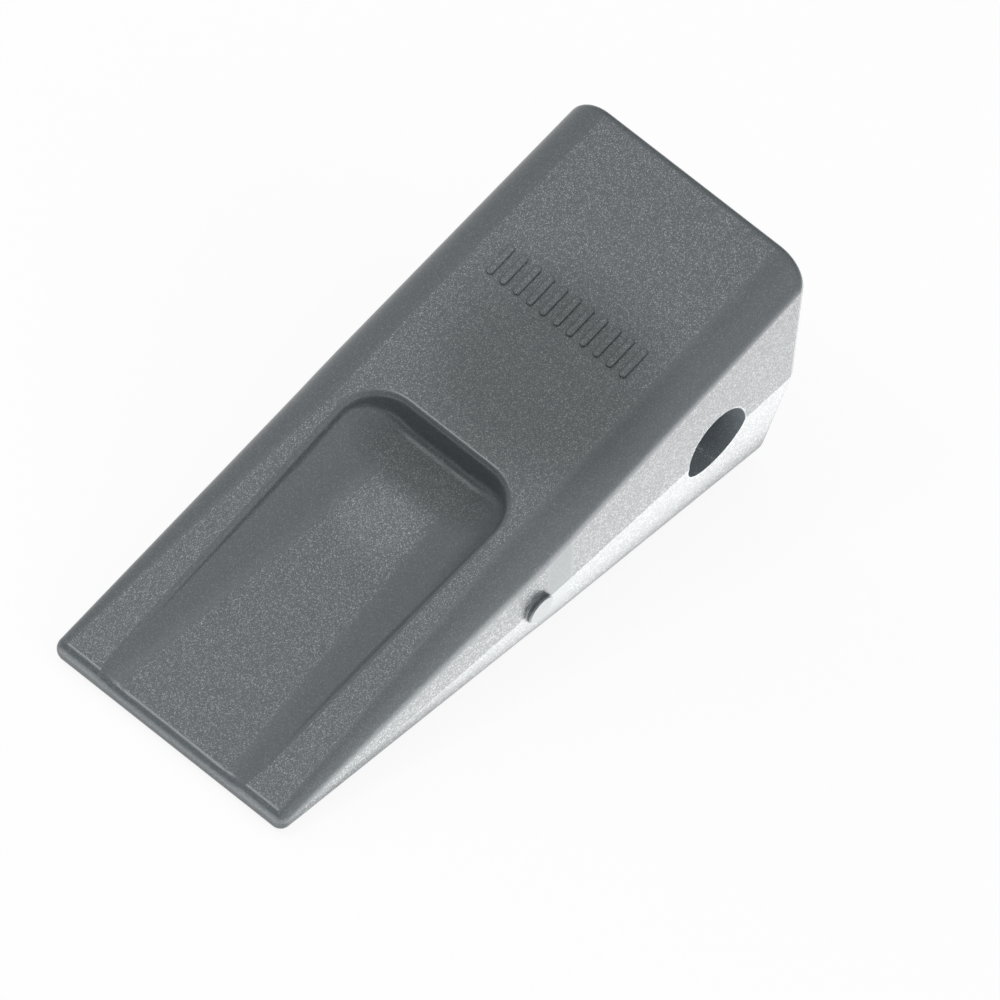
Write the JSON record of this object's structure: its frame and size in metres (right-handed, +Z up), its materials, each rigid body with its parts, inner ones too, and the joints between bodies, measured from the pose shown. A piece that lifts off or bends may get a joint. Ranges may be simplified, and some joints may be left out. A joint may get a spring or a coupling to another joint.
{
  "type": "bucket tooth",
  "caption": "Wedge-shaped cast bucket tooth with a scooped wear recess, a tapering nose socket and a cross bore for its retaining pin.",
  "frame": {"origin": "centre of the footprint on the bottom face, which lies flat on z = 0", "axes": "+X from the cutting tip to the open rear, +Y along the pin bore, +Z up"},
  "size_m": [0.2562, 0.1118, 0.1077],
  "materials": {
    "cast_steel": "shot-blasted cast steel under a thin dark grey coat"
  },
  "bodies": {
    "root": {"tooth": "cast_steel"}
  },
  "joints": []
}
